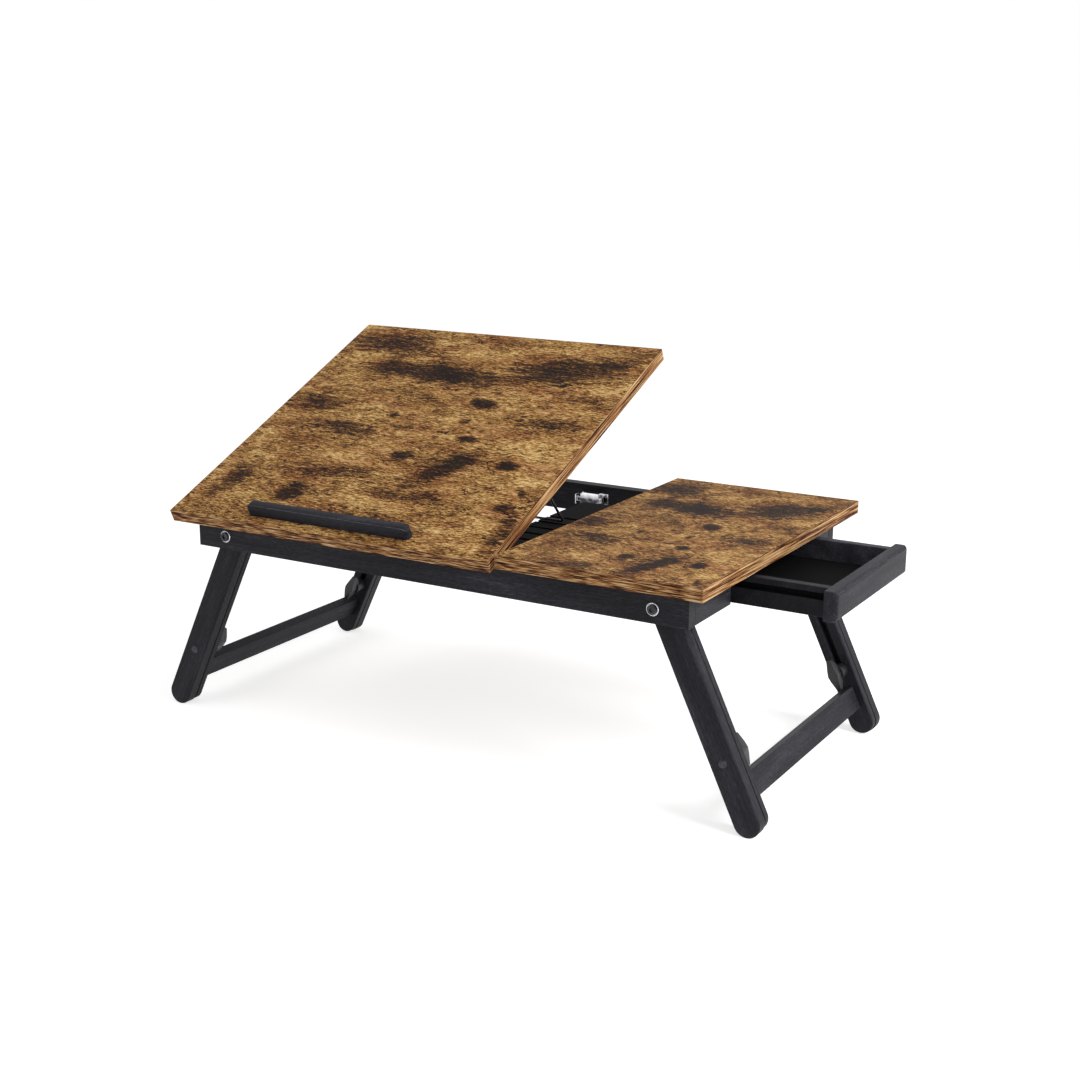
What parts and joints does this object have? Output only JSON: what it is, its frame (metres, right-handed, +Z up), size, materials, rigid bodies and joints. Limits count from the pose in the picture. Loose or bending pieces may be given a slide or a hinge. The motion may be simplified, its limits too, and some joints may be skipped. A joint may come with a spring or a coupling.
{
  "type": "folding laptop stand with drawer",
  "caption": "Low folding laptop stand with a tilting top on a wire prop, a ledge, a narrow fixed top over a side drawer, and splayed leg pairs that fold and lengthen.",
  "frame": {"origin": "on the floor, in the middle of the box that the stand takes up as it stands", "axes": "+X along the tops towards the drawer, +Y from the user to the back, +Z up"},
  "size_m": [0.6719, 0.3538, 0.3502],
  "materials": {
    "rustic_board": "satin printed board",
    "black_wood": "black stain, satin",
    "black_plastic": "fine moulded",
    "blackened_steel": "black oxide",
    "chrome": "bright plated",
    "zinc_steel": "zinc plated"
  },
  "bodies": {
    "frame": {"front_rail": "black_wood", "rear_rail": "black_wood", "left_end_board": "black_wood", "right_end_block_front": "black_wood", "right_end_block_rear": "black_wood", "fixed_top": "rustic_board", "rack_strip": "black_wood", "rack_right": "black_wood", "rack_left": "black_wood", "rack_screws": "zinc_steel", "runner_front": "black_wood", "runner_rear": "black_wood", "tongue_front": "black_wood", "tongue_rear": "black_wood", "runner_screws": "zinc_steel", "rail_hinge_leaves": "zinc_steel", "rail_leaf_screws": "zinc_steel", "hinge_pins": "zinc_steel", "latch_case": "chrome", "latch_screws": "chrome", "pivot_bolts": "blackened_steel", "pivot_rings": "chrome", "pivot_washers": "zinc_steel", "pivot_nuts": "zinc_steel"},
    "tilting_top": {"tilt_top": "rustic_board", "ledge_bar": "black_wood", "ledge_screws": "zinc_steel", "top_hinge_leaves": "zinc_steel", "top_leaf_screws": "zinc_steel", "prop_clips": "zinc_steel", "clip_screws": "zinc_steel", "latch_keeper": "chrome", "keeper_screws": "zinc_steel"},
    "prop": {"prop_wire": "zinc_steel"},
    "latch_slider": {"latch_bolt": "chrome"},
    "drawer": {"drawer_front": "black_wood", "drawer_side_front": "black_wood", "drawer_side_rear": "black_wood", "drawer_back": "black_wood", "drawer_bottom": "black_wood"},
    "right_legs": {"right_outer_front": "black_wood", "right_outer_rear": "black_wood", "right_clamp_bolts": "blackened_steel"},
    "right_extension": {"right_inner_front": "black_wood", "right_inner_rear": "black_wood", "right_crossbar": "black_wood", "right_crossbar_screws": "zinc_steel"},
    "right_knob_front": {"right_knob_front": "black_plastic"},
    "right_knob_rear": {"right_knob_rear": "black_plastic"},
    "left_legs": {"left_outer_front": "black_wood", "left_outer_rear": "black_wood", "left_clamp_bolts": "blackened_steel"},
    "left_extension": {"left_inner_front": "black_wood", "left_inner_rear": "black_wood", "left_crossbar": "black_wood", "left_crossbar_screws": "zinc_steel"},
    "left_knob_front": {"left_knob_front": "black_plastic"},
    "left_knob_rear": {"left_knob_rear": "black_plastic"}
  },
  "joints": [
    {"name": "top_tilt", "type": "hinge", "parent": "frame", "child": "tilting_top", "pos_m": [-0.1158, -0.16079, 0.20343], "axis": [1, 0, 0], "range_deg": [-23.7, 11.3]},
    {"name": "prop_swing", "type": "hinge", "parent": "tilting_top", "child": "prop", "pos_m": [-0.1158, -0.03678, 0.2553], "axis": [-1, 0, 0], "range_deg": [-71.2, 34]},
    {"name": "latch_slide", "type": "slide", "parent": "frame", "child": "latch_slider", "axis": [1, 0, 0], "range_m": [0, 0.0045]},
    {"name": "drawer_slide", "type": "slide", "parent": "frame", "child": "drawer", "axis": [1, 0, 0], "range_m": [-0.0848, 0.013]},
    {"name": "right_legs_fold", "type": "hinge", "parent": "frame", "child": "right_legs", "pos_m": [0.20668, 0.00191, 0.18663], "axis": [0, -1, 0], "range_deg": [-115.2, 0]},
    {"name": "right_legs_extend", "type": "slide", "parent": "right_legs", "child": "right_extension", "axis": [0.4258, 0, -0.9048], "range_m": [0, 0.08]},
    {"name": "right_knob_front_turn", "type": "hinge", "parent": "right_legs", "child": "right_knob_front", "pos_m": [0.26608, 0.00191, 0.06041], "axis": [0, 1, 0], "continuous": true},
    {"name": "right_knob_rear_turn", "type": "hinge", "parent": "right_legs", "child": "right_knob_rear", "pos_m": [0.26608, 0.00191, 0.06041], "axis": [0, 1, 0], "continuous": true},
    {"name": "left_legs_fold", "type": "hinge", "parent": "frame", "child": "left_legs", "pos_m": [-0.24178, 0.00191, 0.18663], "axis": [0, 1, 0], "range_deg": [-115.2, 0]},
    {"name": "left_legs_extend", "type": "slide", "parent": "left_legs", "child": "left_extension", "axis": [-0.4258, 0, -0.9048], "range_m": [0, 0.08]},
    {"name": "left_knob_front_turn", "type": "hinge", "parent": "left_legs", "child": "left_knob_front", "pos_m": [-0.30117, 0.00191, 0.06041], "axis": [0, 1, 0], "continuous": true},
    {"name": "left_knob_rear_turn", "type": "hinge", "parent": "left_legs", "child": "left_knob_rear", "pos_m": [-0.30117, 0.00191, 0.06041], "axis": [0, 1, 0], "continuous": true}
  ],
  "couplings": [
    {"joint": "prop_swing", "follows": "top_tilt", "ratio": 3}
  ]
}
